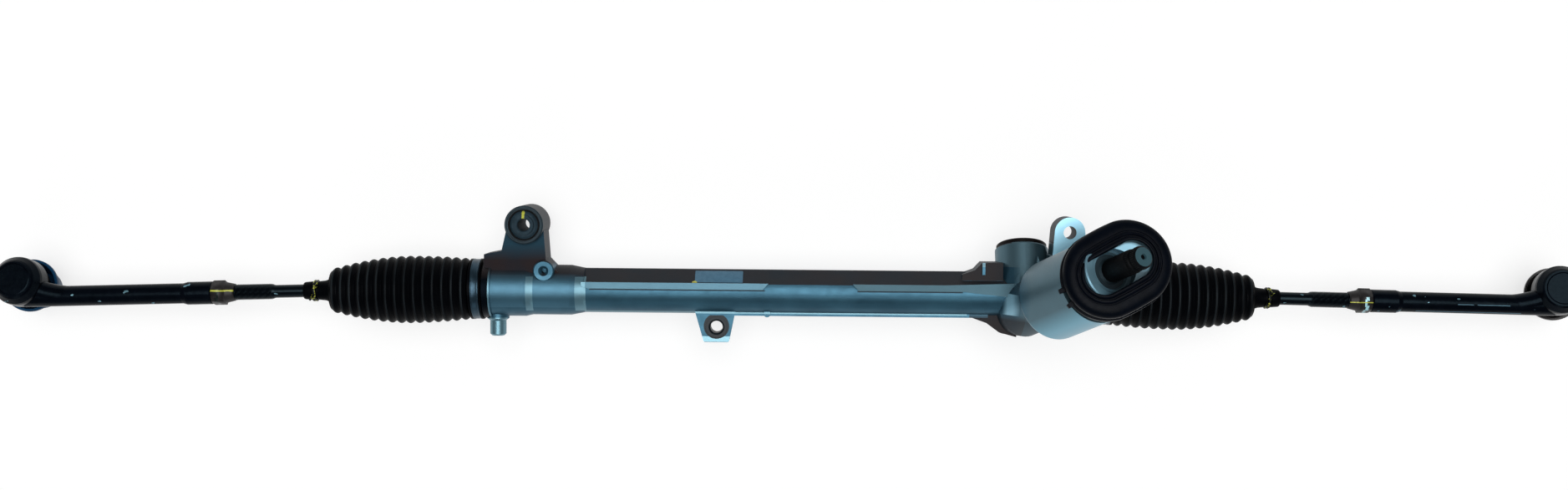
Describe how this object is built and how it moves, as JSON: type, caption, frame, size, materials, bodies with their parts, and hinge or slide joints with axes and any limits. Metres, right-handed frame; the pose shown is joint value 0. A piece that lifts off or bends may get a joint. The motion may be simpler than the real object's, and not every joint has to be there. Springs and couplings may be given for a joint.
{
  "type": "steering rack",
  "caption": "Manual rack-and-pinion steering gear with bellows, tie rods, a slanted pinion tower with a dash seal, and outer ball joints under transit caps",
  "frame": {"origin": "middle of the left mounting bush's bore, halfway between the ear's two faces", "axes": "+X along the rack towards the pinion, +Z along the mounting bore, up as the gear is seen from above, +Y away from the rack axis through the bore"},
  "size_m": [1.3795, 0.1165, 0.2093],
  "materials": {
    "cast_aluminium": "die cast, blasted",
    "bare_steel": "machined",
    "bright_steel": "ground",
    "zinc_steel": "zinc plated",
    "black_forging": "gloss black coat",
    "black_steel": "black phosphate",
    "clamp_steel": "stainless band",
    "black_rubber": "moulded",
    "grey_rubber": "moulded",
    "white_plastic": "low friction",
    "black_plastic": "moulded",
    "blue_plastic": "moulded",
    "smoke_plastic": "moulded"
  },
  "bodies": {
    "housing": {"rack_housing": "cast_aluminium", "mount_bush_shell": "bare_steel", "mount_bush_rubber": "grey_rubber", "mount_bush_sleeve": "bare_steel", "rack_bush": "white_plastic", "rack_bush_ring": "bare_steel", "lower_pinion_bush": "white_plastic", "bearing_outer_race": "bright_steel", "bearing_circlip": "black_steel", "tower_cover": "cast_aluminium", "pinion_oil_seal": "black_rubber", "dash_seal": "black_rubber", "yoke": "cast_aluminium", "yoke_liner": "white_plastic", "yoke_spring": "bare_steel", "yoke_plug": "cast_aluminium", "yoke_o_ring": "black_rubber", "yoke_cap": "black_plastic", "left_bellows": "black_rubber", "left_bellows_clamp": "clamp_steel", "right_bellows": "black_rubber", "right_bellows_clamp": "clamp_steel"},
    "rack": {"rack_bar": "bright_steel", "left_inner_socket": "bare_steel", "right_inner_socket": "bare_steel"},
    "pinion": {"pinion_shaft": "black_steel", "bearing_inner_race": "bright_steel", "bearing_balls": "bright_steel", "shaft_circlip": "black_steel"},
    "left_seat": {"left_inner_seat": "white_plastic"},
    "left_rod": {"left_tie_rod": "black_steel", "left_jam_nut": "zinc_steel", "left_rod_end": "black_forging", "left_rod_end_cover": "black_forging", "left_bellows_clip": "zinc_steel", "left_dust_boot": "black_rubber", "left_boot_ring": "bare_steel"},
    "left_stud_seat_body": {"left_stud_seat": "white_plastic"},
    "left_stud": {"left_ball_stud": "bare_steel", "left_transit_cap": "blue_plastic"},
    "right_seat": {"right_inner_seat": "white_plastic"},
    "right_rod": {"right_tie_rod": "black_steel", "right_jam_nut": "zinc_steel", "right_rod_end": "black_forging", "right_rod_end_cover": "black_forging", "right_bellows_clip": "zinc_steel", "right_dust_boot": "black_rubber", "right_boot_ring": "bare_steel"},
    "right_stud_seat_body": {"right_stud_seat": "white_plastic"},
    "right_stud": {"right_ball_stud": "bare_steel", "right_transit_cap": "smoke_plastic"}
  },
  "joints": [
    {"name": "rack_slide", "type": "slide", "parent": "housing", "child": "rack", "axis": [1, 0, 0], "range_m": [-0.068, 0.068], "deforming": ["left_bellows", "right_bellows"]},
    {"name": "pinion_spin", "type": "hinge", "parent": "housing", "child": "pinion", "pos_m": [0.4285, -0.06977, 0.00652], "axis": [0.4144, 0.3261, 0.8496], "range_deg": [-600, 600]},
    {"name": "left_rod_fore_aft", "type": "hinge", "parent": "rack", "child": "left_seat", "pos_m": [-0.0945, -0.0567, 0.0015], "axis": [0, 0, 1], "range_deg": [-15, 15], "deforming": ["left_bellows"]},
    {"name": "left_rod_up_down", "type": "hinge", "parent": "left_seat", "child": "left_rod", "pos_m": [-0.0945, -0.0567, 0.0015], "axis": [0, 1, 0], "range_deg": [-20, 20], "deforming": ["left_bellows"]},
    {"name": "left_stud_tilt", "type": "hinge", "parent": "left_rod", "child": "left_stud_seat_body", "pos_m": [-0.43824, -0.0545, 0.0015], "axis": [-0.0306, 0.974, -0.2246], "range_deg": [-15, 15], "deforming": ["left_dust_boot"]},
    {"name": "left_stud_turn", "type": "hinge", "parent": "left_stud_seat_body", "child": "left_stud", "pos_m": [-0.43824, -0.0545, 0.0015], "axis": [-0.0085, -0.2249, -0.9743], "continuous": true},
    {"name": "right_rod_fore_aft", "type": "hinge", "parent": "rack", "child": "right_seat", "pos_m": [0.5515, -0.0567, 0.0015], "axis": [0, 0, 1], "range_deg": [-15, 15], "deforming": ["right_bellows"]},
    {"name": "right_rod_up_down", "type": "hinge", "parent": "right_seat", "child": "right_rod", "pos_m": [0.5515, -0.0567, 0.0015], "axis": [0, 1, 0], "range_deg": [-20, 20], "deforming": ["right_bellows"]},
    {"name": "right_stud_tilt", "type": "hinge", "parent": "right_rod", "child": "right_stud_seat_body", "pos_m": [0.89168, -0.04964, 0.0015], "axis": [0.017, 0.9748, -0.2222], "range_deg": [-15, 15], "deforming": ["right_dust_boot"]},
    {"name": "right_stud_turn", "type": "hinge", "parent": "right_stud_seat_body", "child": "right_stud", "pos_m": [0.89168, -0.04964, 0.0015], "axis": [0.1609, -0.222, -0.9617], "continuous": true}
  ],
  "couplings": [
    {"joint": "pinion_spin", "follows": "rack_slide", "rad_per_m": -151.49}
  ]
}
